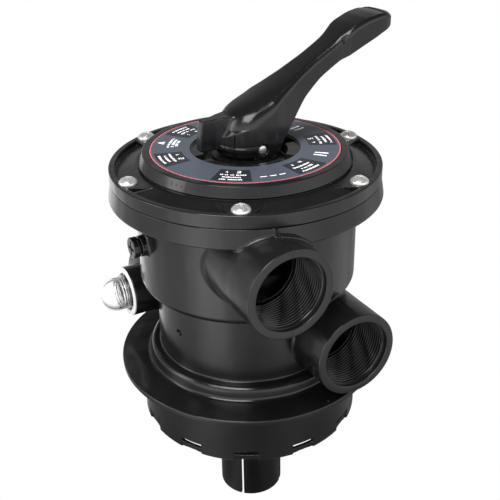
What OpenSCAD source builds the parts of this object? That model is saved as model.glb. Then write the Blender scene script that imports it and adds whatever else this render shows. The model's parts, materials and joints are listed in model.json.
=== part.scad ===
// Six-position top-mount multiport valve for a pool sand filter.
// Units are millimetres. +Z is up and lies on the valve's axis; z = 0 is the underside of the
// clamp skirt, the face that seals on the tank neck. Ports A and B face -Y and the lever points
// along +X. Angles called "bearing" turn anticlockwise, seen from above, starting from -Y.

/* [Body] */
// Radius of the bolted top flange
flange_r = 95; // [93:0.5:97]
// Radius of the upper body, around the rotor chamber
upper_r = 78.8; // [78:0.2:80]
// Radius of the lower body, around the six passages
lower_r = 67.5; // [67:0.5:69]
// Height of the joint between body and cover
seam_z = 147.5; // [147:0.25:148]
// Height of the deck that the spider gasket lies on
deck_z = 80; // [79:0.5:81]
// Radius of the clamp skirt
skirt_r = 98; // [96:0.5:100]
// Radius of the neck ring that enters the tank
neck_r = 82.8; // [82:0.1:83.5]
// Depth of the neck ring below the skirt
neck_depth = 44; // [40:0.5:50]
// Number of notches in the neck ring's edge
notch_count = 12; // [6:1:16]

/* [Ports] */
// Outside radius of a port tube
port_r = 30.7; // [30:0.1:31.5]
// Thread minor radius of a 1.5 inch port
port_bore_r = 23.9; // [23.4:0.1:24.4]
// Length of the thread in each port
thread_depth = 36; // [30:1:40]
// Port A, the pump inlet: distance left of the axis, reach and height
pump_port = [-29, 112, 111.6];
// Port B, the return: distance right of the axis, reach and height
return_port = [30, 101, 41.5];
// Port C, the waste outlet at the back: offset, reach and height
waste_port = [-30, 95, 41.5];

/* [Cover] */
// Height of the top of the flange rim
rim_z = 157; // [156:0.5:158]
// Height of the top of the label dome
dome_z = 166; // [165:0.5:167]
// Radius of the dome's foot
dome_r = 75; // [74:0.5:75.5]
// Radius of the opening around the lever hub
well_r = 38; // [37:0.5:39]
// Number of lever positions
positions = 6; // [6:1:6]
// Bolt circle radius of the cover screws
bolt_r = 87; // [86.5:0.25:87.5]
// Radius of a cover screw's pan head
screw_head_r = 6.35; // [5.5:0.05:6.5]

/* [Lever] */
// Place of the lever pin along X and its height
pin_x = 3; // [0:0.5:3]
pin_z = 169; // [168.5:0.25:169.5]
// Radius of the lever pin
pin_r = 3; // [2.5:0.1:3.2]
// Half width of the lever hub
hub_w = 20.5; // [20:0.25:21]
// Rotor lift in millimetres when the lever is pressed fully down
lift = 4; // [3:0.25:4]
// Lever travel in degrees
press_angle = 25; // [20:1:25]

/* [Tank tube] */
// Outside radius of the centre tube
tube_r = 25; // [24.5:0.1:25.2]
// Wall of the centre tube
tube_wall = 3; // [2.5:0.1:3.5]
// Depth of the tube's open end below the skirt
tube_depth = 131; // [120:1:140]
// Length of the slots in the tube's end
slot_len = 44; // [30:1:50]

/* [Fits] */
// Running clearance on a radius
run_gap = 0.05; // [0.02:0.01:0.1]
// Clearance around a fixed piece in its seat
seat_gap = 0.03; // [0.01:0.01:0.1]

/* [Hidden] */
black = [0.09, 0.09, 0.095];
rubber = [0.05, 0.05, 0.05];
steel = [0.75, 0.76, 0.78];
eps = 0.01;
fine = 120;

// body
flange_z = 134;
chamber_r = 71;
passage_r = 61.5;
deck_t = 8;
floor_z = 10;
floor_t = 6;
web_t = 5;
core_r = 34;
skirt_t = 4;
neck_wall = 4;
notch_w = 17;
notch_h = 8.5;
notch_depth = 1.8;
slot_h = 4.2;
pipe_r = 22;
sector = 360 / positions;
insert_r = 4.5;
insert_len = 11;
screw_r = 2.9;
// side fittings on -X
// the sight glass looks into the side of the waste port's tube
glass_y = 59.5;
glass_face = 74.9;
glass_boss_r = 19.4;
glass_ring_t = 1.2;
glass_r = 12;
glass_skirt = 11;
glass_dome_r = 12.85;
glass_wall = 2.4;
glass_reach = 96.9;
glass_way_r = 8;
plug_z = 109.5;
plug_boss_face = 83.4;
plug_boss_r = 7.4;
plug_r = 4;
plug_gap = 1.1;
plug_head_r = 7.5;
plug_reach = 89.3;
// gasket and rotor
gasket_groove = 1.5;
gasket_t = 3;
gasket_top = deck_z - gasket_groove + gasket_t;
rotor_z = gasket_top + run_gap;
rotor_r = 69.5;
plate_t = 6.5;
stem_r = 12;
spring_seat_z = 101;
stem_top = 176;
stem_oring_r = 1;
stem_oring_z = [136, 144];
// spring
spring_wire = 2.2;
spring_mean_r = 21;
spring_turns = 5;
spring_washer_t = 1.5;
// cover
ceiling_z = 151;
well_floor = 156;
ledge_r = 29.5;
ledge_z = 164.2;
boss_top = 159;
boss_foot = 128;
spigot_r = chamber_r - 0.1;
spigot_z = 137;
oring_r = 1.33;
cover_groove_z = 141.7;
label_t = 0.8;
washer_t = 1.5;
washer_r = 23;
washer_top = boss_top + 2 * washer_t;
// lever
cheek_in = 13.5;
hub_foot = 164.4;
cam_gap = 0.1;
cam_h = pin_z - washer_top - cam_gap;
cam_rate = lift / (press_angle * PI / 180);
cam_end = press_angle + 12;
recess_r = 4.1;
recess_depth = 1.6;

// A direction in plan at a bearing, seen from above.
function bearing(a) = [sin(a), -cos(a)];
// Points of an arc in a profile.
function arc(c, r, a0, a1, n = 6) =
    [for (i = [0:n]) c + r * [cos(a0 + (a1 - a0) * i / n), sin(a0 + (a1 - a0) * i / n)]];

// A solid of revolution about the valve's axis.
module turned(points) {
    rotate_extrude($fn = fine) polygon(points);
}

// An O-ring about the valve's axis.
module ring(mean_r, wire_r, z) {
    translate([0, 0, z]) rotate_extrude($fn = fine) translate([mean_r, 0]) circle(r = wire_r, $fn = 24);
}

// A straight tube or rod along Y from y0 to y1.
module along_y(x, z, r, y0, y1) {
    translate([x, y0, z]) rotate([-90, 0, 0]) cylinder(r = r, h = y1 - y0, $fn = fine);
}

// A straight tube or rod along X from x0 to x1.
module along_x(y, z, r, x0, x1) {
    translate([x0, y, z]) rotate([0, 90, 0]) cylinder(r = r, h = x1 - x0, $fn = fine);
}

// A slice of a turned ring between two bearings.
module wedge(r0, r1, z0, z1, a0, a1) {
    rotate([0, 0, a0 - 90]) rotate_extrude(angle = a1 - a0, $fn = fine)
        translate([r0, z0]) square([r1 - r0, z1 - z0]);
}

// The spider outline: an outer ring, a hub ring and one spoke for each wall.
module spider(ring_in, ring_out, hub_in, hub_out, spoke) {
    difference() {
        circle(r = ring_out, $fn = fine);
        circle(r = ring_in, $fn = fine);
    }
    difference() {
        circle(r = hub_out, $fn = fine);
        circle(r = hub_in, $fn = fine);
    }
    for (k = [0:positions - 1])
        rotate(k * sector) translate([-spoke / 2, -ring_in - 1]) square([spoke, ring_in - hub_in]);
}

module port_tube(p, side) {
    reach = side * p[1];
    along_y(p[0], p[2], port_r, min(reach, side * 45), max(reach, side * 45));
}

// The threaded mouth, then a shoulder that stops the pipe, then a plain bore to the inside.
module port_bore(p, side) {
    mouth = side * (p[1] + 1);
    shoulder = side * (p[1] - thread_depth);
    along_y(p[0], p[2], port_bore_r, min(mouth, shoulder), max(mouth, shoulder));
    along_y(p[0], p[2], pipe_r, min(shoulder, side * 36), max(shoulder, side * 36));
}

// A snap window in the edge of the neck ring: a shallow pocket with a slot through its top.
module neck_notch() {
    top = notch_h - neck_depth;
    translate([-notch_w / 2, -neck_r - 2, -neck_depth - 1]) cube([notch_w, 2 + notch_depth, notch_h + 1]);
    translate([-notch_w / 2, -neck_r - 2, top - slot_h]) cube([notch_w, 10, slot_h]);
}

// The outer shell of the body, solid to the axis.
module body_blank() {
    turned(concat(
        [[0, floor_z], [passage_r, floor_z], [neck_r - neck_wall, 0], [neck_r - neck_wall, -neck_depth]],
        [[neck_r, -neck_depth], [neck_r, 0], [skirt_r - 0.8, 0], [skirt_r, 0.8], [skirt_r, skirt_t - 1]],
        [[skirt_r - 1, skirt_t]],
        arc([83, 10], 5, 270, 205, 4),
        arc([72.5, 16], 5, 270, 180, 4),
        [[lower_r, 68]],
        arc([upper_r - 7, 75], 7, 300, 360, 4),
        [[upper_r, flange_z], [flange_r + 1, flange_z], [flange_r + 2, flange_z + 1]],
        [[flange_r, seam_z], [0, seam_z]]));
}

// The passages below the deck, between the core and the lower wall.
module passages() {
    difference() {
        wedge(core_r, passage_r, floor_z + floor_t, deck_z - deck_t, 0, 360);
        for (k = [0, 1, 2, 3, 5])
            rotate([0, 0, k * sector]) translate([-web_t / 2, -lower_r, 0])
                cube([web_t, lower_r, deck_z]);
    }
}

// One opening through the deck for each passage.
module deck_windows() {
    for (k = [0:positions - 1])
        wedge(core_r + 2, passage_r - 1, deck_z - deck_t - 1, deck_z + 20, k * sector + 5,
            (k + 1) * sector - 5);
}

module valve_body() {
    color(black) difference() {
        union() {
            body_blank();
            port_tube(pump_port, -1);
            port_tube(return_port, -1);
            port_tube(waste_port, 1);
            along_x(glass_y, waste_port[2], glass_boss_r, -glass_face, waste_port[0] - 25);
            along_x(0, plug_z, plug_boss_r, -plug_boss_face, -72);
        }
        // rotor chamber
        translate([0, 0, deck_z]) cylinder(r = chamber_r, h = 90, $fn = fine);
        passages();
        deck_windows();
        // groove for the spider gasket
        translate([0, 0, deck_z - gasket_groove]) linear_extrude(height = 10)
            spider(passage_r - seat_gap, 67 + seat_gap, 26 - seat_gap, core_r + 1 + seat_gap,
                6 + 2 * seat_gap);
        port_bore(pump_port, -1);
        port_bore(return_port, -1);
        port_bore(waste_port, 1);
        // socket for the centre tube, its O-ring groove and the way into passage 6
        translate([0, 0, -50]) cylinder(r = tube_r + seat_gap, h = 85, $fn = fine);
        translate([0, 0, 35 - eps]) cylinder(r = tube_r - tube_wall - 1, h = 29, $fn = fine);
        ring_groove(tube_r, 22);
        wedge(15, core_r + 2, 38, 60, -sector + 8, -8);
        // the tank-top passage opens down into the neck
        wedge(core_r + 2, passage_r - 1, floor_z - 20, floor_z + floor_t + 1, sector + 5, 2 * sector - 5);
        // groove for the neck O-ring
        turned([[88, -1], [92, -1], [92, 1.6], [88, 1.6]]);
        // brass inserts
        for (k = [0:positions - 1])
            translate(concat(bolt_r * bearing(30 + k * sector), seam_z - insert_len))
                cylinder(r = insert_r + seat_gap, h = 30, $fn = 48);
        // sight glass seat and its way into the waste tube
        along_x(glass_y, waste_port[2], glass_r + seat_gap, -glass_face - 1, 0.5 - glass_face + glass_skirt);
        along_x(glass_y, waste_port[2], glass_way_r, -glass_face, waste_port[0] - 10);
        along_x(0, plug_z, plug_r + seat_gap, -plug_boss_face - 1, -60);
        for (k = [0:notch_count - 1]) rotate([0, 0, k * 360 / notch_count]) neck_notch();
    }
}

// A square groove outside radius r for an O-ring.
module ring_groove(r, z) {
    wedge(r - 1, r + 3.2, z - 1.8, z + 1.8, 0, 360);
}

module flange_inserts() {
    color([0.78, 0.6, 0.25])
        for (k = [0:positions - 1])
            translate(concat(bolt_r * bearing(30 + k * sector), seam_z - insert_len)) difference() {
                cylinder(r = insert_r, h = insert_len, $fn = 48);
                translate([0, 0, -1]) cylinder(r = screw_r + run_gap, h = insert_len + 2, $fn = 48);
            }
}

module spider_gasket() {
    color(rubber) translate([0, 0, deck_z - gasket_groove]) linear_extrude(height = gasket_t)
        spider(passage_r, 67, 26, core_r + 1, 6);
}

module rotor() {
    color([0.12, 0.12, 0.13]) difference() {
        union() {
            turned([[0, rotor_z], [rotor_r, rotor_z], [rotor_r, rotor_z + plate_t], [26, rotor_z + plate_t],
                [24, spring_seat_z - 4], [24, spring_seat_z], [17.5, spring_seat_z],
                [17.5, spring_seat_z + 4], [stem_r, spring_seat_z + 6], [stem_r, stem_top - 1],
                [stem_r - 1, stem_top], [0, stem_top]]);
            wedge(22, 65, rotor_z, rotor_z + 16, -sector - 2, sector + 2);
            for (k = [2:4])
                rotate([0, 0, sector * (k + 0.5)]) translate([-2, -66, rotor_z + 2]) cube([4, 44, 12]);
        }
        // the bridge that joins two neighbouring passages
        wedge(28, passage_r - 0.5, rotor_z - 1, rotor_z + 12.5, -sector + 4, sector - 4);
        // the window that feeds one passage from the rotor chamber
        wedge(core_r + 2, passage_r - 0.5, rotor_z - 1, rotor_z + 20, sector + 6, 2 * sector - 6);
        for (z = stem_oring_z)
            turned([[stem_r - 2 * stem_oring_r, z - 1.3], [stem_r + 1, z - 1.3], [stem_r + 1, z + 1.3],
                [stem_r - 2 * stem_oring_r, z + 1.3]]);
        along_y(pin_x, pin_z, pin_r + seat_gap / 2, -stem_r - 1, stem_r + 1);
    }
}

module stem_orings() {
    color(rubber) for (z = stem_oring_z) ring(stem_r - stem_oring_r + 0.01, stem_oring_r, z);
}

// Points of one ring of the coil's skin at turn fraction t.
function coil_ring(t, z0, z1, sides) = [for (j = [0:sides - 1])
    let (a = t * 360 * spring_turns, q = 360 * j / sides, r = spring_mean_r + spring_wire * cos(q))
    [r * cos(a), r * sin(a), z0 + (z1 - z0) * t + spring_wire * sin(q)]];

module spring() {
    sides = 8;
    steps = 26 * spring_turns;
    z0 = spring_seat_z + spring_wire + 0.05;
    z1 = ceiling_z - spring_washer_t - spring_wire - 0.05;
    points = [for (i = [0:steps]) for (p = coil_ring(i / steps, z0, z1, sides)) p];
    skin = [for (i = [0:steps - 1]) for (j = [0:sides - 1]) let (k = (j + 1) % sides)
        [i * sides + j, (i + 1) * sides + j, (i + 1) * sides + k, i * sides + k]];
    first = [for (j = [0:sides - 1]) j];
    last = [for (j = [sides - 1:-1:0]) steps * sides + j];
    color(steel) polyhedron(points = points, faces = concat(skin, [first, last]), convexity = 10);
}

module spring_washer() {
    color(steel) translate([0, 0, ceiling_z - spring_washer_t]) difference() {
        cylinder(r = 25, h = spring_washer_t - 0.02, $fn = fine);
        translate([0, 0, -1]) cylinder(r = 17.3, h = 4, $fn = fine);
    }
}

// A pad for one cover screw: it widens from the rim towards the dome.
module screw_pad() {
    intersection() {
        linear_extrude(height = rim_z)
            polygon([[-18.5, -72], [-6.5, -93], [6.5, -93], [18.5, -72]]);
        wedge(72, 92, seam_z + 1, rim_z, -20, 20);
    }
}

module cover() {
    inner = stem_r + run_gap;
    color(black) difference() {
        union() {
            turned([[inner, boss_top], [21, boss_top], [21, well_floor], [ledge_r - 1, well_floor],
                [ledge_r, ledge_z], [well_r - 0.2, ledge_z], [well_r, dome_z - label_t],
                [66.3, dome_z - label_t], [66.3, dome_z], [71, dome_z],
                [72, dome_z - 0.5], [dome_r, rim_z + 1.6], [dome_r - 1.8, rim_z + 1.6],
                [dome_r - 1.8, rim_z], [77, rim_z], [90.6, rim_z - 4.2], [90.6, rim_z],
                [flange_r - 0.8, rim_z], [flange_r, rim_z - 0.8], [flange_r, seam_z],
                [spigot_r, seam_z], [spigot_r, cover_groove_z + 1.8], [spigot_r - 2.6, cover_groove_z + 1.8],
                [spigot_r - 2.6, cover_groove_z - 1.8], [spigot_r, cover_groove_z - 1.8],
                [spigot_r, spigot_z], [64, spigot_z], [64, 150], [61, 159], [45, 159], [42, ceiling_z],
                [17, ceiling_z], [17, boss_foot], [inner, boss_foot]]);
            for (k = [0:positions - 1]) rotate([0, 0, 30 + k * sector]) screw_pad();
        }
        for (k = [0:positions - 1]) rotate([0, 0, 30 + k * sector]) {
            translate([0, -bolt_r, 100]) cylinder(r = screw_r + 0.3, h = 100, $fn = 48);
            // detent notch in the ledge of the well
            translate([-5, -well_r + 0.3, well_floor + 1]) cube([10, 15, 20]);
        }
    }
}

module cover_oring() {
    color(rubber) ring(spigot_r - 2.6 + oring_r + 0.01, oring_r, cover_groove_z);
}

// One pan-head screw with a cross recess, its seat at the origin.
module pan_screw() {
    difference() {
        union() {
            rotate_extrude($fn = 48) polygon(concat([[0, 0], [screw_head_r, 0], [screw_head_r, 1.2]],
                arc([0, -3.6], 7.95, 37, 90, 6)));
            translate([0, 0, -19.5]) cylinder(r = screw_r, h = 19.6, $fn = 48);
        }
        for (a = [0, 90]) rotate([0, 0, a]) translate([-0.7, -3, 2.2]) cube([1.4, 6, 5]);
    }
}

module cover_screws() {
    color(steel) for (k = [0:positions - 1])
        translate(concat(bolt_r * bearing(30 + k * sector), rim_z)) rotate([0, 0, 20 * k]) pan_screw();
}

module label_plate() {
    color([0.32, 0.35, 0.4]) translate([0, 0, dome_z - label_t]) difference() {
        cylinder(r = 66.2, h = label_t, $fn = fine);
        translate([0, 0, -1]) cylinder(r = well_r + 0.4, h = 4, $fn = fine);
    }
}

// A flat washer under the lever's cam.
module cam_washer(z) {
    translate([0, 0, z]) difference() {
        cylinder(r = washer_r, h = washer_t - 0.02, $fn = fine);
        translate([0, 0, -1]) cylinder(r = stem_r + 0.3, h = 4, $fn = fine);
    }
}

module thrust_washer() {
    color([0.9, 0.9, 0.88]) cam_washer(boss_top + 0.01);
}

module steel_washer() {
    color(steel) cam_washer(boss_top + washer_t);
}

// The cam lifts the pin in proportion to the lever's angle: a point of its edge at angle t.
function cam_point(t) = let (h = cam_h + cam_rate * t * PI / 180)
    [pin_x, pin_z] + h * [sin(t), -cos(t)] + cam_rate * [cos(t), sin(t)];

// Side view of the lever.
module lever_side() {
    polygon(concat(
        [[-hub_w, hub_foot], [-4, hub_foot], [-3, pin_z - cam_h]],
        [for (t = [0:3:cam_end]) cam_point(t)],
        [[19.5, 169.5], [23, 174], [26, 178], [33, 186.5], [41.3, 197.8], [54.6, 209.3], [69, 218.4]],
        [[88, 227.5], [103, 234.4], [111, 236.8], [114.6, 238.4], [115.6, 240.5], [114.6, 245], [112, 247]],
        [[106, 248.1], [98, 248.1], [89, 246], [79, 242], [71, 236.5], [66, 232], [46, 220.2]],
        [[34, 213.3], [21, 206.8], [9, 201.3], [-1, 197.5], [-9, 194.3], [-15.5, 190.5], [-hub_w, 185.5]]));
}

// Half of the lever's top view, from the hub to the rounded end of the grip.
lever_half = [[14, 20.5], [22, 17.5], [36, 13.5], [50, 11.5], [62, 11.6], [70, 12.2], [75.5, 14.4],
    [98, 15.2], [107, 14], [112, 10.5], [115, 5], [115.6, 0]];

// Top view of the lever.
module lever_top() {
    circle(r = hub_w, $fn = fine);
    polygon(concat([[0, hub_w]], lever_half, [for (i = [len(lever_half) - 2:-1:0])
        [lever_half[i][0], -lever_half[i][1]]], [[0, -hub_w]]));
}

module handle() {
    color(black) difference() {
        union() {
            intersection() {
                rotate([90, 0, 0]) translate([0, 0, -50]) linear_extrude(height = 100) lever_side();
                translate([0, 0, 100]) linear_extrude(height = 200) lever_top();
            }
            // the pointer nose
            rotate([90, 0, 0]) translate([0, 0, -3.5]) linear_extrude(height = 7)
                polygon([[-18, 169], [-36, 169], [-36.4, 172], [-33.4, 190], [-12, 191.5]]);
        }
        // room for the stem, at every lever angle
        translate([pin_x - 18, -cheek_in, 150]) cube([32, 2 * cheek_in, 30.5]);
        along_y(pin_x, pin_z, pin_r + run_gap, -30, 30);
        // shallow recesses around the pin's two ends
        along_y(pin_x, pin_z, recess_r, -30, -hub_w + recess_depth);
        along_y(pin_x, pin_z, recess_r, hub_w - recess_depth, 30);
    }
}

module handle_pin() {
    color(steel) along_y(pin_x, pin_z, pin_r, -hub_w + 0.4, hub_w - 0.4);
}

// Turned pieces of the side fittings are drawn about Z and laid along -X, seat at the origin.
module on_side(x, y, z) {
    translate([-x, y, z]) rotate([0, -90, 0]) children();
}

module sight_glass() {
    dome_base = glass_reach - glass_face - glass_dome_r;
    inner_r = glass_dome_r - glass_wall;
    color([0.9, 0.95, 1, 0.35]) on_side(glass_face, glass_y, waste_port[2]) rotate_extrude($fn = 96)
        polygon(concat(
            [[glass_r - 2.5, -glass_skirt], [glass_r, -glass_skirt], [glass_r, 0], [14.8, 0], [14.8, 0.9]],
            [[glass_dome_r, 1.2], [glass_dome_r, dome_base]],
            arc([0, dome_base], glass_dome_r, 10, 90, 8),
            arc([0, dome_base], inner_r, 90, 0, 8),
            [[inner_r, 1.5], [glass_r - 2.5, 0]]));
}

module sight_glass_gasket() {
    color([0.92, 0.92, 0.9]) on_side(glass_face, glass_y, waste_port[2]) difference() {
        cylinder(r = glass_boss_r - 0.1, h = glass_ring_t, $fn = 96);
        translate([0, 0, -1]) cylinder(r = 14.8 + seat_gap, h = 4, $fn = 96);
    }
}

module gauge_plug() {
    head_t = plug_reach - plug_boss_face;
    color(black) on_side(plug_boss_face, 0, plug_z) difference() {
        rotate_extrude($fn = 64) polygon([[0, -9], [plug_r, -9], [plug_r, plug_gap],
            [plug_head_r, plug_gap], [plug_head_r, head_t - 0.6], [plug_head_r - 0.6, head_t], [0, head_t]]);
        for (a = [0, 90]) rotate([0, 0, a]) translate([-0.8, -4.5, head_t - 2.4]) cube([1.6, 9, 5]);
    }
}

module gauge_plug_oring() {
    wire = plug_gap / 2 - 0.01;
    color(rubber) on_side(plug_boss_face, 0, plug_z) translate([0, 0, plug_gap / 2])
        rotate_extrude($fn = 64) translate([plug_r + wire + 0.3, 0]) circle(r = wire, $fn = 24);
}

module centre_tube() {
    color(black) difference() {
        translate([0, 0, -tube_depth]) cylinder(r = tube_r, h = tube_depth + 34.5, $fn = fine);
        translate([0, 0, -tube_depth - 1]) cylinder(r = tube_r - tube_wall, h = 200, $fn = fine);
        for (a = [45, 135]) rotate([0, 0, a])
            translate([-1, -30, -tube_depth - 1]) cube([2, 60, slot_len + 1]);
    }
}

module tube_oring() {
    color(rubber) ring(tube_r + 1.6, 1.55, 22);
}

module neck_oring() {
    color(rubber) ring(90, 1.75, -0.2);
}

valve_body();
flange_inserts();
spider_gasket();
rotor();
stem_orings();
spring();
spring_washer();
cover();
cover_oring();
cover_screws();
label_plate();
thrust_washer();
steel_washer();
handle();
handle_pin();
sight_glass();
sight_glass_gasket();
gauge_plug();
gauge_plug_oring();
centre_tube();
tube_oring();
neck_oring();
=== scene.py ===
"""Looks of a six-position top-mount multiport valve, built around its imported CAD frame."""
import json
import math

import bmesh
import bpy
import numpy as np
from mathutils import Matrix, Vector


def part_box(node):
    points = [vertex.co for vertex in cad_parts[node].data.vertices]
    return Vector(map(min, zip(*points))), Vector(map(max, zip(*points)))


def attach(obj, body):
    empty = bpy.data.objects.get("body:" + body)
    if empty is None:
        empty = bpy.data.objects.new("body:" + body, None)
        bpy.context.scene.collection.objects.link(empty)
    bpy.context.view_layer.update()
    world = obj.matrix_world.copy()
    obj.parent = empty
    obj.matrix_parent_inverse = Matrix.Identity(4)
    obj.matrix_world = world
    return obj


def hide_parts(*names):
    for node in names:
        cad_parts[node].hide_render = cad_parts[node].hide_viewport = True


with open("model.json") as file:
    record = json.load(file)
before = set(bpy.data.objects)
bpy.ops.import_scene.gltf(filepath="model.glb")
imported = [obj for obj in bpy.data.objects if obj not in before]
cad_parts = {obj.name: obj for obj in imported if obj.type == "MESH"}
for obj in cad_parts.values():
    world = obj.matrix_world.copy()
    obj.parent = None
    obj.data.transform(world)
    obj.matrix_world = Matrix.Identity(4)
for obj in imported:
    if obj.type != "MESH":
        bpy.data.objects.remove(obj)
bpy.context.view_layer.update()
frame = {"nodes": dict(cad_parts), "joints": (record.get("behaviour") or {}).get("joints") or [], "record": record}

# ---------------------------------------------------------------------------------------------
# Driving sizes, in millimetres, read from the frame. z = 0 is the underside of the clamp skirt,
# and a "bearing" is an angle about the axis, anticlockwise from -Y, seen from above.
# ---------------------------------------------------------------------------------------------
MM = 0.001
MOUNTS = {m["name"]: m for m in frame["record"]["mounts"]}
JOINTS = {j["name"]: j for j in frame["joints"]}


def in_mm(values):
    return [v / MM for v in values]


def node_box(name):
    low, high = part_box(name)
    return in_mm(low), in_mm(high)


PUMP = in_mm(MOUNTS["port_a_pump"]["pos_m"])
RETURN = in_mm(MOUNTS["port_b_return"]["pos_m"])
WASTE = in_mm(MOUNTS["port_c_waste"]["pos_m"])
BORE_R = MOUNTS["port_a_pump"]["dims"]["r_mm"]
NECK_R = MOUNTS["neck"]["dims"]["r_mm"]
TUBE_BORE_R = MOUNTS["standpipe"]["dims"]["r_mm"]
PIN_X, _, PIN_Z = in_mm(JOINTS["lever_press"]["pos_m"])
BODY_LOW, BODY_HIGH = node_box("valve_body")
_, COVER_HIGH = node_box("cover")
_, LEVER_HIGH = node_box("handle")
TUBE_LOW, TUBE_HIGH = node_box("centre_tube")
GLASS_LOW, GLASS_HIGH = node_box("sight_glass")
PLUG_LOW, PLUG_HIGH = node_box("gauge_plug")
_, SCREW_HIGH = node_box("cover_screws")
SEAM_Z = BODY_HIGH[2]
NECK_Z = BODY_LOW[2]
SKIRT_R = BODY_HIGH[0]
DOME_Z = COVER_HIGH[2]
FLANGE_R = COVER_HIGH[0]
RIM_Z = DOME_Z - 9
GLASS_Y = (GLASS_LOW[1] + GLASS_HIGH[1]) / 2
GLASS_Z = (GLASS_LOW[2] + GLASS_HIGH[2]) / 2
PLUG_Z = (PLUG_LOW[2] + PLUG_HIGH[2]) / 2
TUBE_R = TUBE_HIGH[0]
HUB_R = LEVER_HIGH[1]

# sizes that the frame doesn't state
PORT_R = 30.7
BODY_R = 78.8
LOWER_R = 67.5
DECK_Z = 80.0
BOLT_R = 87.0
PITCH = 25.4 / 11
POSITIONS = 6
STEP = 360 / POSITIONS
LABEL_IN, LABEL_OUT = 38.4, 66.2
GLASS_FACE = 74.9
GLASS_BOSS_R = 19.4
PLUG_BOSS_FACE = 83.4
PLUG_BOSS_R = 7.4
THREAD_LENGTH = MOUNTS["port_a_pump"]["dims"]["length_mm"]
PIPE_R = 22.0

# grid step of the modelled shells: coarser while trying things
DETAIL = 1.0


# ---------------------------------------------------------------------------------------------
# Distance fields. A field takes a dict of x, y, z and r (distance from the axis) arrays.
# ---------------------------------------------------------------------------------------------
def join(a, b, k):
    """Union with a fillet of radius k."""
    return np.maximum(k, np.minimum(a, b)) - np.hypot(np.maximum(k - a, 0), np.maximum(k - b, 0))


def common(a, b, k):
    """Intersection with its outer edge rounded to radius k."""
    return -join(-a, -b, k)


def cut(a, b, k):
    """a with b taken away, its edge rounded to radius k."""
    return common(a, -b, k)


def round_corners(corners, steps):
    """Points of a closed outline from (u, v, radius) corners, each rounded by its radius."""
    points = []
    count = len(corners)
    for i, (u, v, radius) in enumerate(corners):
        here = np.array([u, v], float)
        back = np.array(corners[i - 1][:2], float) - here
        ahead = np.array(corners[(i + 1) % count][:2], float) - here
        back_len, ahead_len = np.linalg.norm(back), np.linalg.norm(ahead)
        back, ahead = back / back_len, ahead / ahead_len
        half = math.acos(np.clip(back @ ahead, -1, 1)) / 2
        if radius <= 0 or half > math.pi / 2 - 0.01:
            points.append(here)
            continue
        reach = min(radius / math.tan(half), 0.49 * back_len, 0.49 * ahead_len)
        actual = reach * math.tan(half)
        middle = (back + ahead) / np.linalg.norm(back + ahead)
        middle = here + middle * actual / math.sin(half)
        start, end = here + back * reach - middle, here + ahead * reach - middle
        for t in np.linspace(0, 1, steps):
            spoke = start * (1 - t) + end * t
            points.append(middle + spoke / np.linalg.norm(spoke) * actual)
    return np.array(points)


def outline_distance(u, v, points):
    """Signed distance to a closed outline, negative inside."""
    u, v = np.broadcast_arrays(np.asarray(u, np.float32), np.asarray(v, np.float32))
    best = np.full(u.shape, 1e12, np.float32)
    inside = np.zeros(u.shape, bool)
    for (u0, v0), (u1, v1) in zip(points, np.roll(points, -1, axis=0)):
        eu, ev = u1 - u0, v1 - v0
        wu, wv = u - u0, v - v0
        t = np.clip((wu * eu + wv * ev) / (eu * eu + ev * ev + 1e-12), 0, 1)
        best = np.minimum(best, (wu - eu * t) ** 2 + (wv - ev * t) ** 2)
        if v0 != v1:
            crosses = (v0 > v) != (v1 > v)
            inside ^= crosses & (u < eu * (v - v0) / (v1 - v0) + u0)
    return np.where(inside, -1, 1) * np.sqrt(best)


def rod(a, b, along, radius, start, end, k=0.0):
    """A round rod: a and b are offsets from its axis, along runs down it."""
    side = np.hypot(a, b) - radius
    ends = np.abs(along - (start + end) / 2) - (end - start) / 2
    return common(side, ends, k) if k else np.maximum(side, ends)


def fold(p, count, offset):
    """(across, outward) of each point, folded into one of count equal sectors."""
    bearing = np.arctan2(p["x"], -p["y"])
    step = 2 * math.pi / count
    turn = (bearing - math.radians(offset) + step / 2) % step - step / 2
    return p["r"] * np.sin(turn), p["r"] * np.cos(turn)


# ---------------------------------------------------------------------------------------------
# Meshing: a surface net over a round or a square grid, pulled onto the exact surface.
# ---------------------------------------------------------------------------------------------
def spread(*stops):
    """Grid lines through the stops (place, step towards the next place)."""
    lines = []
    for (a, step), (b, _) in zip(stops, stops[1:]):
        count = max(1, round((b - a) / (step * DETAIL)))
        lines.extend(np.linspace(a, b, count, endpoint=False))
    lines.append(stops[-1][0])
    return np.array(lines)


def round_place(axes, index):
    bearing = np.interp(index[:, 0], np.arange(len(axes[0]) + 1), np.append(axes[0], 2 * math.pi))
    r = np.interp(index[:, 1], np.arange(len(axes[1])), axes[1])
    z = np.interp(index[:, 2], np.arange(len(axes[2])), axes[2])
    return np.stack([r * np.sin(bearing), -r * np.cos(bearing), z], axis=1)


def square_place(axes, index):
    return np.stack([np.interp(index[:, a], np.arange(len(axes[a])), axes[a]) for a in range(3)], axis=1)


def field_at(field, points):
    x, y, z = points.T
    return field({"x": x, "y": y, "z": z, "r": np.hypot(x, y)})


def sample(field, axes, is_round):
    """The field at every grid point, a slab at a time."""
    slab = 24
    parts = []
    for start in range(0, len(axes[0]), slab):
        a = axes[0][start:start + slab].reshape(-1, 1, 1)
        b = axes[1].reshape(1, -1, 1)
        z = axes[2].reshape(1, 1, -1)
        if is_round:
            p = {"x": b * np.sin(a), "y": -b * np.cos(a), "z": z, "r": b}
        else:
            p = {"x": a, "y": b, "z": z, "r": np.hypot(a, b)}
        shape = (a.shape[0], b.shape[1], z.shape[2])
        parts.append(np.broadcast_to(field(p), shape).astype(np.float32))
    return np.concatenate(parts)


def slope(field, points, h=0.03):
    """Gradient of the field at points."""
    grad = np.empty_like(points)
    for a in range(3):
        step = np.zeros(3)
        step[a] = h
        grad[:, a] = (field_at(field, points + step) - field_at(field, points - step)) / (2 * h)
    return grad


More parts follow.
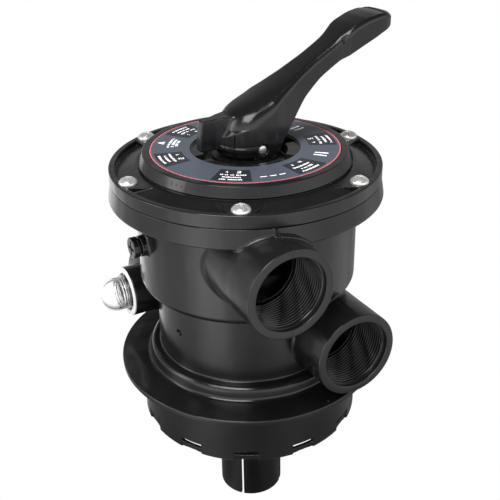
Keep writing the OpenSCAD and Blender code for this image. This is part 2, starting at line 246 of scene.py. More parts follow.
def surface(name, field, axes, is_round):
    """A closed mesh of the field's zero level, with exact normals."""
    values = sample(field, axes, is_round)
    if is_round:
        values = np.concatenate([values, values[:1]])
    inside = values < 0
    cells = tuple(s - 1 for s in values.shape)
    corners = [(i, j, k) for i in (0, 1) for j in (0, 1) for k in (0, 1)]
    total = np.zeros(cells, np.uint8)
    for i, j, k in corners:
        total += inside[i:i + cells[0], j:j + cells[1], k:k + cells[2]]
    active = np.argwhere((total > 0) & (total < 8))
    number = np.full(cells, -1, np.int32)
    number[tuple(active.T)] = np.arange(len(active))
    at = {c: values[tuple((active + np.array(c)).T)] for c in corners}
    place = np.zeros((len(active), 3))
    hits = np.zeros(len(active))
    for axis in range(3):
        for c in corners:
            if c[axis]:
                continue
            d = tuple(1 if a == axis else c[a] for a in range(3))
            f0, f1 = at[c], at[d]
            crossed = (f0 < 0) != (f1 < 0)
            t = np.where(crossed, f0 / np.where(crossed, f0 - f1, 1), 0)
            spot = np.array(c, float) + np.eye(3)[axis] * t[:, None]
            place += spot * crossed[:, None]
            hits += crossed
    place = active + place / hits[:, None]
    points = (round_place if is_round else square_place)(axes, place)
    for _ in range(4):
        value, grad = field_at(field, points), slope(field, points)
        move = (value / np.maximum((grad ** 2).sum(1), 0.2))[:, None] * grad
        length = np.linalg.norm(move, axis=1)[:, None]
        points = points - move * np.minimum(1, 0.5 / np.maximum(length, 1e-9))
    faces = []
    for axis in range(3):
        b, c = (axis + 1) % 3, (axis + 2) % 3
        first = [slice(None)] * 3
        second = [slice(None)] * 3
        first[axis], second[axis] = slice(0, -1), slice(1, None)
        starts_in = inside[tuple(first)]
        found = np.argwhere(starts_in != inside[tuple(second)])
        for other in (b, c):
            if not (is_round and other == 0):
                found = found[(found[:, other] > 0) & (found[:, other] < cells[other])]
            else:
                found = found[found[:, other] < cells[other]]
        ring = []
        for db, dc in ((0, 0), (1, 0), (1, 1), (0, 1)):
            q = found.copy()
            q[:, b] -= db
            q[:, c] -= dc
            if is_round:
                q[:, 0] %= cells[0]
            ring.append(number[tuple(q.T)])
        quad = np.stack(ring, axis=1)
        leaving = starts_in[tuple(found.T)]
        quad[~leaving] = quad[~leaving][:, ::-1]
        if is_round:
            quad = quad[:, ::-1]
        faces.append(quad)
    faces = np.concatenate(faces)
    grad = slope(field, points)
    normals = grad / np.maximum(np.linalg.norm(grad, axis=1), 1e-9)[:, None]
    return mesh_from_arrays(name, points, faces, normals)


def mesh_from_arrays(name, points, faces, normals=None):
    mesh = bpy.data.meshes.new(name)
    corners = faces.shape[1]
    mesh.vertices.add(len(points))
    mesh.vertices.foreach_set("co", (points * MM).astype(np.float32).ravel())
    mesh.loops.add(faces.size)
    mesh.loops.foreach_set("vertex_index", faces.astype(np.int32).ravel())
    mesh.polygons.add(len(faces))
    mesh.polygons.foreach_set("loop_start", np.arange(0, faces.size, corners, dtype=np.int32))
    mesh.update(calc_edges=True)
    mesh.validate()
    mesh.shade_smooth()
    if normals is not None:
        mesh.normals_split_custom_set_from_vertices(normals.astype(np.float32))
    return place_object(name, mesh)


def place_object(name, mesh):
    piece = bpy.data.objects.new(name, mesh)
    bpy.context.scene.collection.objects.link(piece)
    return piece


def bearings(count):
    return np.linspace(0, 2 * math.pi, round(count / DETAIL), endpoint=False)


# ---------------------------------------------------------------------------------------------
# Turned pieces and flat marks.
# ---------------------------------------------------------------------------------------------
def swept_ring(name, rows, columns, move=None):
    """A closed ring of quads. rows are (r, z) points of a closed outline, anticlockwise; move
    may shift each row's radius by bearing."""
    turn = np.linspace(0, 2 * math.pi, columns, endpoint=False)
    r = np.repeat(rows[:, :1], columns, axis=1)
    z = np.repeat(rows[:, 1:], columns, axis=1)
    if move is not None:
        r = r + move(z, turn[None, :])
    points = np.stack([r * np.sin(turn), -r * np.cos(turn), z], axis=2).reshape(-1, 3)
    i, j = np.meshgrid(np.arange(len(rows)), np.arange(columns), indexing="ij")
    up, on = (i + 1) % len(rows), (j + 1) % columns
    quads = np.stack([i * columns + j, i * columns + on, up * columns + on, up * columns + j], axis=2)
    return mesh_from_arrays(name, points, quads.reshape(-1, 4))


def dense(points, step):
    """The closed outline with extra points, so no side is longer than step."""
    out = []
    for a, b in zip(points, np.roll(points, -1, axis=0)):
        count = max(1, math.ceil(np.linalg.norm(b - a) / step))
        out.extend(a + (b - a) * t for t in np.arange(count) / count)
    return np.array(out)


def turned(name, corners, columns=160, step=4.0):
    """A ring turned about the axis from (r, z, fillet) corners, anticlockwise."""
    return swept_ring(name, dense(round_corners(corners, 5), step), columns)


def turned_solid(name, profile, columns=96):
    """A solid turned about the axis from an open (r, z) profile that starts and ends at r = 0."""
    turn = np.linspace(0, 2 * math.pi, columns, endpoint=False)
    inner = profile[1:-1]
    rings = [np.stack([r * np.sin(turn), -r * np.cos(turn), np.full(columns, z)], axis=1) for r, z in inner]
    points = np.concatenate([[[0, 0, profile[0][1]]], *rings, [[0, 0, profile[-1][1]]]])
    mesh = bpy.data.meshes.new(name)
    faces = []
    for j in range(columns):
        on = (j + 1) % columns
        faces.append((0, 1 + on, 1 + j))
        for i in range(len(inner) - 1):
            a, b = 1 + i * columns, 1 + (i + 1) * columns
            faces.append((a + j, a + on, b + on, b + j))
        last = 1 + (len(inner) - 1) * columns
        faces.append((last + j, last + on, len(points) - 1))
    mesh.from_pydata([tuple(p * MM) for p in points], [], faces)
    mesh.validate()
    mesh.shade_smooth()
    return place_object(name, mesh)


def crisp(piece, degrees=35):
    """Shade smooth, but keep edges sharper than this."""
    piece.data.shade_smooth()
    piece.data.set_sharp_from_angle(angle=math.radians(degrees))
    return piece


def flat_marks(name, outlines, z, height=0.12):
    """Thin raised prints: each outline is a list of (bearing, r) points, extruded up from z."""
    build = bmesh.new()
    for outline in outlines:
        low, high = [], []
        for angle, r in outline:
            a = math.radians(angle)
            x, y = r * math.sin(a) * MM, -r * math.cos(a) * MM
            low.append(build.verts.new((x, y, z * MM)))
            high.append(build.verts.new((x, y, (z + height) * MM)))
        count = len(outline)
        build.faces.new(high)
        build.faces.new(low[::-1])
        for i in range(count):
            on = (i + 1) % count
            build.faces.new((low[i], low[on], high[on], high[i]))
    bmesh.ops.recalc_face_normals(build, faces=build.faces)
    mesh = bpy.data.meshes.new(name)
    build.to_mesh(mesh)
    build.free()
    return place_object(name, mesh)


def lay_along(piece, x, y, z, direction):
    """Turn a piece made about +Z to lie along a direction, its origin at x, y, z."""
    turn = Vector((0, 0, 1)).rotation_difference(Vector(direction)).to_matrix().to_4x4()
    piece.data.transform(Matrix.Translation(Vector((x, y, z)) * MM) @ turn)
    return piece


# ---------------------------------------------------------------------------------------------
# Body
# ---------------------------------------------------------------------------------------------
class Outline:
    """Distance to a rounded flat outline, looked up in a table. A turned shape is read at (r, z)."""

    def __init__(self, corners, low, high, step=0.25, arc_steps=8):
        self.step = step
        self.u = np.arange(low[0], high[0] + step, step)
        self.v = np.arange(low[1], high[1] + step, step)
        self.table = outline_distance(self.u[:, None], self.v[None, :], round_corners(corners, arc_steps))

    def __call__(self, u, v):
        a = np.clip((u - self.u[0]) / self.step, 0, len(self.u) - 1.001)
        b = np.clip((v - self.v[0]) / self.step, 0, len(self.v) - 1.001)
        i, j = a.astype(int), b.astype(int)
        fa, fb = a - i, b - j
        low = self.table[i, j] * (1 - fa) + self.table[i + 1, j] * fa
        high = self.table[i, j + 1] * (1 - fa) + self.table[i + 1, j + 1] * fa
        return low * (1 - fb) + high * fb


def between(value, start, end):
    """Negative inside a slab."""
    return np.maximum(start - value, value - end)


BODY_OUTSIDE = Outline([
    (0, SEAM_Z, 0), (0, NECK_Z, 0), (NECK_R, NECK_Z, 0.7), (NECK_R, 0, 0), (SKIRT_R, 0, 0.8),
    (SKIRT_R, 4.2, 1.1), (76.4, 4.8, 3), (74.6, 14.4, 5), (68, 15, 1.6), (LOWER_R, 68, 1.2),
    (BODY_R, 68, 7), (BODY_R, 134, 2.2), (FLANGE_R + 2, 134, 1.6), (FLANGE_R - 0.3, SEAM_Z, 0.5)],
    (0, -50), (116, 152), 0.2, 6)
BODY_INSIDE = Outline([
    (0, -60, 0), (NECK_R - 4, -60, 0), (NECK_R - 4, -1, 2), (61.5, 10, 2), (25.1, 10, 0.8),
    (25.1, 35, 0), (TUBE_BORE_R, 35, 0), (TUBE_BORE_R, 64, 0), (0, 64, 0)],
    (0, -50), (116, 80), 0.2, 6)
# each port's place, its side, where its tube ends in the body shell, and how far in its mouth goes
PORTS = ((PUMP, -1, 96, 75.6), (RETURN, -1, 88, 64.6), (WASTE, 1, 82, 70.0))
NOTCHES = 12
GATE = (-65.2, -17.5, 43.0)
NOTCH_TOP = NECK_Z + 8.5


def passages(p):
    """The hollow ring below the deck, with its walls, the deck windows and the way to the tank."""
    r, z = p["r"], p["z"]
    ring = np.maximum(between(r, 34, 61.5), between(z, 16, 72))
    walls = np.full(np.broadcast_shapes(r.shape, p["x"].shape), 50.0)
    for k in (0, 1, 2, 3, 5):
        a = math.radians(k * STEP)
        out = p["x"] * math.sin(a) - p["y"] * math.cos(a)
        across = p["x"] * math.cos(a) + p["y"] * math.sin(a)
        walls = np.minimum(walls, np.maximum(np.abs(across) - 2.5, -out))
    half = math.radians(STEP / 2 - 5)
    across, out = fold(p, POSITIONS, STEP / 2)
    windows = np.abs(across) * math.cos(half) - out * math.sin(half)
    windows = np.maximum(windows, np.maximum(between(r, 36, 60.5), between(z, 71, 100)))
    tank = np.abs(p["y"]) * math.cos(half) - p["x"] * math.sin(half)
    tank = np.maximum(tank, np.maximum(between(r, 36, 60.5), between(z, -10, 17)))
    return np.minimum(np.minimum(np.maximum(ring, -walls), windows), tank)


def body_field(p):
    x, y, z, r = p["x"], p["y"], p["z"], p["r"]
    solid = BODY_OUTSIDE(r, z)
    for (px, _, pz), side, end, _ in PORTS:
        solid = join(solid, rod(x - px, z - pz, side * y, PORT_R - 0.1, 45, end), 1.8)
    # a thicker stretch of the flange over the pump port, right of the mould's parting line
    pad = common(np.hypot(x - PUMP[0], z - PUMP[2]) - PORT_R - 2, between(r, 80, 100), 1.1)
    solid = join(solid, common(pad, np.maximum(-27.2 - x, np.maximum(133.5 - z, y)), 0.3), 0.4)
    solid = join(solid, rod(y - GLASS_Y, z - GLASS_Z, -x, GLASS_BOSS_R, 40, GLASS_FACE, 0.6), 1.5)
    solid = join(solid, rod(y, z - PLUG_Z, -x, PLUG_BOSS_R, 60, PLUG_BOSS_FACE, 0.5), 2)
    # the parting rib over the pump port
    rib = np.maximum(between(x + 28, -0.8, 0.8), between(z, 139, 147.2))
    solid = join(solid, np.maximum(rib, between(r, 90, 97.4)), 0.3)
    # the parting line across the skirt, and the gate mark on the lower body
    seam = np.maximum(np.abs(x - 12) - 0.35, np.maximum(between(z, 1, 4.5), between(-y, 74, 96)))
    solid = join(solid, seam, 0.2)
    gate = np.sqrt((x - GATE[0]) ** 2 + (y - GATE[1]) ** 2 + (z - GATE[2]) ** 2)
    solid = join(cut(solid, gate - 2.3, 0.3), gate - 1.1, 0.2)
    solid = cut(solid, BODY_INSIDE(r, z), 0.4)
    solid = cut(solid, np.maximum(r - 71, DECK_Z - z), 0.5)
    solid = np.maximum(solid, -passages(p))
    for port, side, _, deep in PORTS:
        shoulder = abs(port[1]) - THREAD_LENGTH
        a, b, along = x - port[0], z - port[2], side * y
        solid = np.maximum(solid, -rod(a, b, along, PIPE_R, 36, 130))
        solid = np.maximum(solid, -rod(a, b, along, BORE_R, shoulder, 130))
        solid = np.maximum(solid, -rod(a, b, along, BORE_R + 4, deep + 0.4, 130))
    solid = np.maximum(solid, -rod(y - GLASS_Y, z - GLASS_Z, -x, 12.1, GLASS_FACE - 11.5, 130))
    solid = np.maximum(solid, -rod(y - GLASS_Y, z - GLASS_Z, -x, 8, 40, 130))
    solid = np.maximum(solid, -rod(y, z - PLUG_Z, -x, 4.1, 60, 130))
    # snap windows in the edge of the neck ring
    across, out = fold(p, NOTCHES, 0)
    recess = np.maximum(np.abs(across) - 8.5, z - NOTCH_TOP)
    slot = np.maximum(recess, NOTCH_TOP - 4.2 - z)
    solid = cut(solid, np.maximum(recess, NECK_R - 1.8 - out), 0.3)
    return cut(solid, np.maximum(slot, 70 - out), 0.3)


def make_body():
    axes = (bearings(600),
            spread((19, 2), (60, 1.2), (74, 0.9), (99, 1.4), (118, 1)),
            spread((NECK_Z - 1.5, 0.9), (-33, 1.3), (-2, 0.6), (17, 1.2), (66, 0.9), (77, 1.2), (131, 0.8),
                   (149, 1)))
    return surface("body_shell", body_field, axes, True)


def port_mouth(name, port, side, end, deep):
    """The outer part of a port tube: its rounded lip, a plain step and the thread."""
    reach = abs(port[1]) - 0.15
    shell = round_corners([(29.2, deep, 0), (29.2, end - 9, 0), (PORT_R, end - 8.8, 0), (PORT_R, reach, 1.0),
                           (24.8, reach, 0.7), (25.1, reach - 3.2, 0), (24.2, reach - 3.4, 0)], 5)
    start, stop = reach - 3.6, deep
    rows = max(40, round((start - stop) / (PITCH / 10 * DETAIL)))
    depth = np.linspace(start, stop, rows)
    inside = np.stack([np.full(rows, 24.5), depth], axis=1)
    outline = np.concatenate([shell, inside])

    def thread(z, turn):
        fade = np.clip((start - z) / 1.5, 0, 1) * np.clip((z - stop) / 1.2, 0, 1)
        is_thread = np.zeros(z.shape, bool)
        is_thread[len(shell):] = True
        phase = (z / PITCH + turn / (2 * math.pi)) % 1
        wave = np.abs(2 * phase - 1) * 2 - 1
        return np.where(is_thread, (0.2 + 0.8 * np.clip(wave * 1.4, -0.8, 1)) * fade, 0)

    mouth = swept_ring(name, outline, round(240 / DETAIL), thread)
    lay_along(mouth, port[0], 0, port[2], (0, side, 0))
    return crisp(mouth, 38)


def make_mould_lines():
    """Fine raised lines where the mould halves met: along the top of each front port and over its face."""
    build = bmesh.new()
    for port, start in ((PUMP, 97), (RETURN, 66)):
        x, reach, z = port[0] + 0.8, -port[1], port[2]
        face_from, face_to = reach - 0.4, reach - 0.02
        bars = ((start, reach - 1.2, PORT_R - 0.3, PORT_R + 0.35), (face_from, face_to, 25.6, PORT_R - 0.9),
                (face_from, face_to, 0.9 - PORT_R, -25.6))
        for y0, y1, z0, z1 in bars:
            block = bmesh.ops.create_cube(build, size=1)["verts"]
            size = Matrix.Diagonal((0.6, y1 - y0, z1 - z0, 1))
            spot = Matrix.Translation((x, -(y0 + y1) / 2, z + (z0 + z1) / 2))
            bmesh.ops.transform(build, matrix=Matrix.Scale(MM, 4) @ spot @ size, verts=block)
    mesh = bpy.data.meshes.new("mould_lines")
    build.to_mesh(mesh)
    build.free()
    return place_object("mould_lines", mesh)


# ---------------------------------------------------------------------------------------------
# Cover
# ---------------------------------------------------------------------------------------------
COVER_SHAPE = Outline([
    (12.3, DOME_Z - 7, 0.5), (12.3, 128, 0), (17, 128, 0), (17, 151, 1), (42, 151, 0), (45, 158, 0),
    (61, 158, 0), (64, 150, 0), (64, 137, 0), (70.9, 137, 0), (71, SEAM_Z, 0), (FLANGE_R, SEAM_Z + 0.35, 0.5),
    (FLANGE_R, RIM_Z, 1.0), (90.8, RIM_Z, 0.5), (90.8, 152.8, 0.4), (77, RIM_Z, 0.4), (73.2, RIM_Z, 0.3),
    (73.4, 158.1, 0.3), (75, 158.8, 0.6), (71.2, DOME_Z, 0.9), (66.4, DOME_Z, 0.2), (66.4, DOME_Z - 0.8, 0),
    (38.1, DOME_Z - 0.8, 0), (37.8, 164.2, 0.2), (29.5, 164.2, 0.6), (29, 156, 0.6), (21, 156, 0.5),
    (21, DOME_Z - 7, 0.4)],
    (0, 124), (100, 170), 0.2, 6)


# a screw's pad: half its width at its inner end, where that is, and how fast it narrows outwards
PAD_HALF = 18.5
PAD_FROM = 72
PAD_TAPER = 12 / 21
# a detent notch in the ledge: half its width, its outer end and its floor
DETENT_HALF = 5
DETENT_END = 37.6
DETENT_FLOOR = 157


def cover_field(p):
    z, r = p["z"], p["r"]
    solid = COVER_SHAPE(r, z)
    across, out = fold(p, POSITIONS, STEP / 2)
    pad = (np.abs(across) - PAD_HALF + (out - PAD_FROM) * PAD_TAPER) / math.hypot(1, PAD_TAPER)
    pad = common(pad, np.maximum(between(r, 72.5, 92), between(z, 149, RIM_Z)), 0.3)
    solid = join(solid, pad, 0.4)
    notch = np.maximum(np.abs(across) - DETENT_HALF, np.maximum(between(out, 20, DETENT_END), DETENT_FLOOR - z))
    return cut(solid, notch, 0.3)


def make_cover():
    axes = (bearings(680),
            spread((11, 1.5), (27, 1.0), (39, 1.6), (64, 0.8), (79, 1.0), (89, 0.6), (96, 1)),
            spread((126, 2), (146, 0.7), (152, 0.55), (168, 1)))
    return surface("cover_shell", cover_field, axes, True)


# ---------------------------------------------------------------------------------------------
# Lever
# ---------------------------------------------------------------------------------------------
LEVER_SIDE = [
    (-HUB_R, 164.4, 0), (-4, 164.4, 0.5), (-3, 162.1, 1), (11, 162.1, 0.5), (16.5, 164.5, 2), (20, 169.5, 1),
    (23, 174, 6), (26, 178, 10), (33, 186.5, 30), (41.3, 197.8, 30), (54.6, 209.3, 40), (69, 218.4, 40),
    (88, 227.5, 60), (103, 234.4, 60), (111, 236.8, 20), (115.2, 238.7, 2.5), (114.8, 246, 4), (106, 248, 20),
    (98, 248, 30), (89, 245.9, 25), (79, 241.9, 25), (71, 236.4, 16), (66, 232, 30), (58, 227.2, 60),
    (46, 220.2, 60), (34, 213.3, 60), (21, 206.8, 60), (9, 201.3, 40), (-1, 197.5, 30), (-9, 194.3, 20),
    (-15.5, 190.5, 15), (-HUB_R, 185.5, 0)]
HUB_FRONT = [(HUB_R * math.cos(a), HUB_R * math.sin(a), 0)
             for a in np.linspace(math.pi / 2, 1.5 * math.pi, 33)]
LEVER_EDGE = [
    (14, HUB_R, 10), (22, 17.5, 20), (36, 13.5, 40), (50, 11.5, 40), (62, 11.6, 20), (70, 12.1, 2),
    (75.5, 14.3, 4), (98, 15.2, 40), (107, 13.8, 20), (112, 10.3, 10), (115, 4.5, 8)]
LEVER_PLAN = HUB_FRONT + [(x, -y, k) for x, y, k in LEVER_EDGE] + LEVER_EDGE[::-1]
# height of the middle of the arm along x
ARM_X = (-20, 9, 21, 33, 41, 54, 68.5, 88, 104, 120)
ARM_Z = (178, 184, 190, 200, 208, 217.5, 226, 236.5, 240.7, 242)


SIDE_VIEW = Outline(LEVER_SIDE, (-45, 155), (130, 254))
PLAN_VIEW = Outline(LEVER_PLAN, (-45, -30), (130, 30))
NOSE_SIDE = Outline([
    (-5, 169, 0), (-35.8, 169, 0.8), (-36.3, 172, 0.8), (-33.3, 189.8, 1.2), (-12, 191.4, 0), (0, 180, 0)],
    (-45, 155), (130, 254))
NOSE_PLAN = Outline([
    (-5, -9, 0), (-19, -6.2, 3), (-24, -4.2, 8), (-35.4, -3.4, 0.6), (-35.4, 3.4, 0.6), (-24, 4.2, 8),
    (-19, 6.2, 3), (-5, 9, 0)], (-45, -30), (130, 30))


# inside the hub: the room for the stem, the hole for the pin and the recess round each of its ends
ROOM_HALF = 13.5
ROOM_TOP = 180.5
PIN_HOLE_R = 3.05
RECESS_R = 4.1
RECESS_DEPTH = 1.6
# the nick where the grip starts
NICK_X = 71.5


def lever_field(p):
    x, y, z = p["x"], p["y"], p["z"]
    near_hub = np.clip((36 - x) / 50, 0, 1)
    above = np.clip((z - np.interp(x, ARM_X, ARM_Z)) / 4, 0, 1)
    # the top is crowned: lower towards its sides, most of all over the hub
    side = SIDE_VIEW(x, z + (0.7 + 3.0 * near_hub) * (y / HUB_R) ** 2 * above)
    plan = PLAN_VIEW(x, y)
    solid = common(side, plan, 1.2 + (3.0 + 6.5 * near_hub) * above)
    # a flared lip round the front of the hub
    lip = np.maximum(plan - 0.9, np.maximum(between(z, PIN_Z - 0.6, PIN_Z + 2), x - 1))
    solid = join(solid, lip, 1.0)
    solid = join(solid, common(NOSE_SIDE(x, z), NOSE_PLAN(x, y), 0.7), 1.6)
    # hollow hub for the stem, the pin and its recesses
    room = np.maximum(np.abs(y) - ROOM_HALF, np.maximum(between(x - PIN_X, -18, 14), z - ROOM_TOP))
    solid = cut(solid, room, 0.4)
    solid = np.maximum(solid, -rod(x - PIN_X, z - PIN_Z, y, PIN_HOLE_R, -30, 30))
    solid = cut(solid, rod(x - PIN_X, z - PIN_Z, np.abs(y), RECESS_R, HUB_R - RECESS_DEPTH, 40), 0.3)
    # shallow panel in the top of the grip, and a nick in each side where the grip starts
    panel = common(plan + 2.4, between(x, 74, 106), 3)
    solid = cut(solid, np.maximum(panel, -(side + 0.7)), 0.3)
    nick = np.maximum(np.abs(x - NICK_X) + (234 - z) * 0.3 - 1.5, np.maximum(229 - z, -plan - 1.2))
    return cut(solid, nick, 0.2)


def make_lever():
    axes = (spread((-37, 0.8), (24, 0.95), (74, 0.75), (122, 1)),
            spread((-22, 0.8), (22, 1)),
            spread((160.5, 0.7), (196, 0.85), (249, 1)))
    return surface("lever_arm", lever_field, axes, False)


# ---------------------------------------------------------------------------------------------
# Small fittings
# ---------------------------------------------------------------------------------------------
SCREW_R = 6.35
SCREW_TOP = SCREW_HIGH[2] - RIM_Z


def cross(p, width, reach, top, depth):
    """A cross recess that narrows as it goes down."""
    down = np.clip((top - p["z"]) / depth, 0, 1)
    slots = []
    for a, b in ((p["x"], p["y"]), (p["y"], p["x"])):
        slots.append(np.maximum(np.abs(a) - width * (1 - 0.45 * down), np.abs(b) - reach * (1 - 0.35 * down)))
    return np.maximum(join(*slots, 0.25), top - depth - p["z"])


def screw_field(p):
    ball = 7.95
    head = np.hypot(p["r"], p["z"] - (SCREW_TOP - ball)) - ball
    head = common(head, np.maximum(p["r"] - SCREW_R, -0.6 - p["z"]), 0.5)
    return cut(head, cross(p, 0.85, 3.1, SCREW_TOP, 2.2), 0.15)


def make_screws():
    step = 0.22
    across = spread((-6.8, step), (6.8, 1))
    axes = (across, across, spread((-1.1, step), (SCREW_TOP + 0.6, 1)))
    first = surface("cover_screw_1", screw_field, axes, False)
    screws = [first]
    for k in range(1, POSITIONS):
        mesh = first.data.copy()
        screws.append(place_object(f"cover_screw_{k + 1}", mesh))
    for k, screw in enumerate(screws):
        a = math.radians(STEP / 2 + k * STEP)
        spot = Vector((BOLT_R * math.sin(a), -BOLT_R * math.cos(a), RIM_Z)) * MM
        screw.data.transform(Matrix.Translation(spot) @ Matrix.Rotation(0.4 + 1.1 * k, 4, "Z"))
    return screws


def plug_field(p):
    """The gauge plug about +Z, its seat at z = 0."""
    x, y, z = p["x"], p["y"], p["z"]
    length = -PLUG_LOW[0] - PLUG_BOSS_FACE
    solid = rod(x, y, z, 7.45, 1.15, length, 0.7)
    solid = cut(solid, np.maximum(6.9 - p["r"], between(z, 2.3, 2.9)), 0.15)
    solid = join(solid, rod(x, y, z, 3.9, -8, 2), 0.3)
    return cut(solid, cross(p, 1.0, 5.2, length, 2.4), 0.2)


def make_plug():
    across = spread((-8.4, 0.3), (8.4, 1))
    axes = (across, across, spread((-8.6, 0.5), (0.4, 0.22), (6.4, 1)))
    plug = surface("gauge_plug_head", plug_field, axes, False)
    return lay_along(plug, -PLUG_BOSS_FACE, 0, PLUG_Z, (-1, 0, 0))


def make_glass():
    """The clear sight glass: a domed cup with moulded thread rings inside its rim."""
    height = -GLASS_LOW[0] - GLASS_FACE
    outer_r, inner_r, ring_r = 12.8, 10.8, 9.9
    low = height - outer_r
    t = np.linspace(0.08, math.pi / 2, 24)
    dome = [(outer_r * math.cos(a), low + outer_r * math.sin(a)) for a in t[:-1]]
    outer = [(9.6, -10.9), (11.8, -10.9), (11.8, 0.05), (14.5, 0.05), (14.6, 0.3), (14.6, 2.0), (14.3, 2.3),
             (13.4, 2.5), (outer_r, 3.2), (outer_r, low)]
    inside = [(inner_r * math.cos(a), low + 0.3 + inner_r * math.sin(a)) for a in t[-2::-1]]
    rings = []
    for k in range(4):
        z = low - 1.5 - k * 2.2
        rings += [(inner_r, z), (inner_r - 0.2, z - 0.5), (ring_r, z - 0.9), (ring_r, z - 1.3),
                  (inner_r - 0.2, z - 1.7)]
    crown = [(0.02, height), (0.02, low + 0.3 + inner_r)]
    # one skin: up the outside to the crown, then down the inside; it is closed into a cup
    rows = np.array(outer + dome + crown + inside + rings + [(9.6, -4)])
    glass = crisp(swept_ring("glass_dome", rows, 96), 50)
    return lay_along(glass, -GLASS_FACE, GLASS_Y, GLASS_Z, (-1, 0, 0))


def make_glass_ring():
    inner_r, outer_r = 14.9, 19.2
    corners = [(inner_r, 0.02, 0.2), (outer_r, 0.02, 0.3), (outer_r, 1.18, 0.4), (inner_r, 1.18, 0.3)]
    ring = turned("glass_ring", corners, 96, 2)
    return lay_along(ring, -GLASS_FACE, GLASS_Y, GLASS_Z, (-1, 0, 0))


def make_pin():
    half = HUB_R - 0.4
    end = [(0, half), (2.4, half - 0.05), (2.8, half - 0.3), (3, half - 0.8)]
    profile = [(r, -z) for r, z in end] + end[::-1]
    pin = turned_solid("lever_pin", profile, 48)
    return lay_along(crisp(pin, 50), PIN_X, 0, PIN_Z, (0, 1, 0))


def tube_field(p):
    r, z = p["r"], p["z"]
    wall = common(between(r, TUBE_BORE_R, TUBE_R), between(z, TUBE_LOW[2], 34.4), 0.6)
    for a in (45, 135):
        c, s = math.cos(math.radians(a)), math.sin(math.radians(a))
        across = p["x"] * c + p["y"] * s
        wall = cut(wall, np.maximum(np.abs(across) - 1, z - TUBE_LOW[2] - 44), 0.2)
    return wall


def make_tube():
    down = spread((TUBE_LOW[2] - 1, 0.7), (TUBE_LOW[2] + 50, 2), (36, 1))
    axes = (bearings(420), spread((20.6, 0.35), (26, 1)), down)
    return surface("tank_tube", tube_field, axes, True)


# ---------------------------------------------------------------------------------------------
# Label prints. Strips are drawn in a frame at a bearing: u along the tangent, v outwards.
# ---------------------------------------------------------------------------------------------
def strip(angle, u0, u1, r0, r1):
    """A block bounded by two arcs."""
    count = max(1, round((u1 - u0) / 1.5))
    middle = (r0 + r1) / 2
    spots = [angle + math.degrees(u / middle) for u in np.linspace(u0, u1, count + 1)]
    return [(a, r1) for a in spots] + [(a, r0) for a in spots[::-1]]


def words(angle, r, width, height, seed):
    """A line of plain dashes, like a line of small print, centred on the bearing."""
    chooser = np.random.default_rng(seed)
    marks, u = [], -width / 2
    while u < width / 2 - 1:
        size = chooser.uniform(0.55, 0.95)
        if chooser.random() > 0.14:
            trim = chooser.choice([0, 0, 0.35])
            marks.append(strip(angle, u, u + size, r - height / 2 + trim, r + height / 2))
        u += size + 0.36
    return marks


SEGMENTS = {1: "bc", 2: "abged", 3: "abgcd", 4: "fgbc", 5: "afgcd", 6: "afgcde"}


def numeral(digit, angle, u, r, size):
    """A numeral of straight bars, its top towards the axis. r is its middle."""
    w, h, t = size * 0.29, size / 2, size * 0.09
    bars = {"a": (-w, w, -h), "g": (-w, w, 0), "d": (-w, w, h),
            "f": (-w, -h, 0), "b": (w, -h, 0), "e": (-w, 0, h), "c": (w, 0, h)}
    marks = []
    for name in SEGMENTS[digit]:
        if name in "agd":
            u0, u1, v = bars[name]
            marks.append(strip(angle, u + u0 - t, u + u1 + t, r + v - t, r + v + t))
        else:
            side, v0, v1 = bars[name]
            marks.append(strip(angle, u + side - t, u + side + t, r + v0 + t * 1.02, r + v1 - t * 1.02))
    return marks


PATCH_BEARINGS = (-155, -95, -36.5, 17, 74, 133)


def make_label():
    top = DOME_Z
    corners = [(LABEL_IN, top - 0.78, 0), (LABEL_OUT, top - 0.78, 0), (LABEL_OUT, top - 0.05, 0.2),
               (LABEL_IN, top - 0.05, 0.2)]
    disc = turned("label_disc", corners, 240, 6)
    rim_in, rim_out = LABEL_OUT - 1.1, LABEL_OUT - 0.05
    corners = [(rim_in, top - 0.06, 0), (rim_out, top - 0.06, 0), (rim_out, top, 0), (rim_in, top, 0)]
    rim = turned("label_rim", corners, 240, 3)
    patches = [strip(a, -11.5, 11.5, 44.2, 63.6) for a in PATCH_BEARINGS]
    patch = flat_marks("label_patches", patches, top - 0.06, 0.02)
    marks = []
    for k, angle in enumerate(PATCH_BEARINGS):
        for line, (r, width) in enumerate(((53, 17), (56.8, 13), (60.6, 16))):
            marks += words(angle, r, width, 1.7, 10 * k + line)
        marks += numeral(k + 1, angle, 3, 48, 3.2)
        marks.append([(angle - 6.6, 49.2), (angle - 4.6, 49.2), (angle - 5.6, 46.8)])
    for r, width in ((53.5, 19), (50.7, 15), (48, 11)):
        marks += words(-127, r, width, 1.9, round(r))
    marks.append([(-129.6, 57.4), (-124.4, 57.4), (-127, 62.6)])
    for angle, middle in ((43, 54), (105, 52)):
        for shift in (-2.2, 2.2):
            marks.append(strip(angle, shift - 0.8, shift + 0.8, middle - 4.6, middle + 4.6))
    for u in (-6.5, 0, 6.5):
        marks.append(strip(-10, u - 2.2, u + 2.2, 56.6, 57.5))
    prints = flat_marks("label_prints", marks, top - 0.05, 0.05)
    return disc, rim, patch, prints


TICKS = 19
TICK_STEP = 3.1
FIRST_TICK = -68


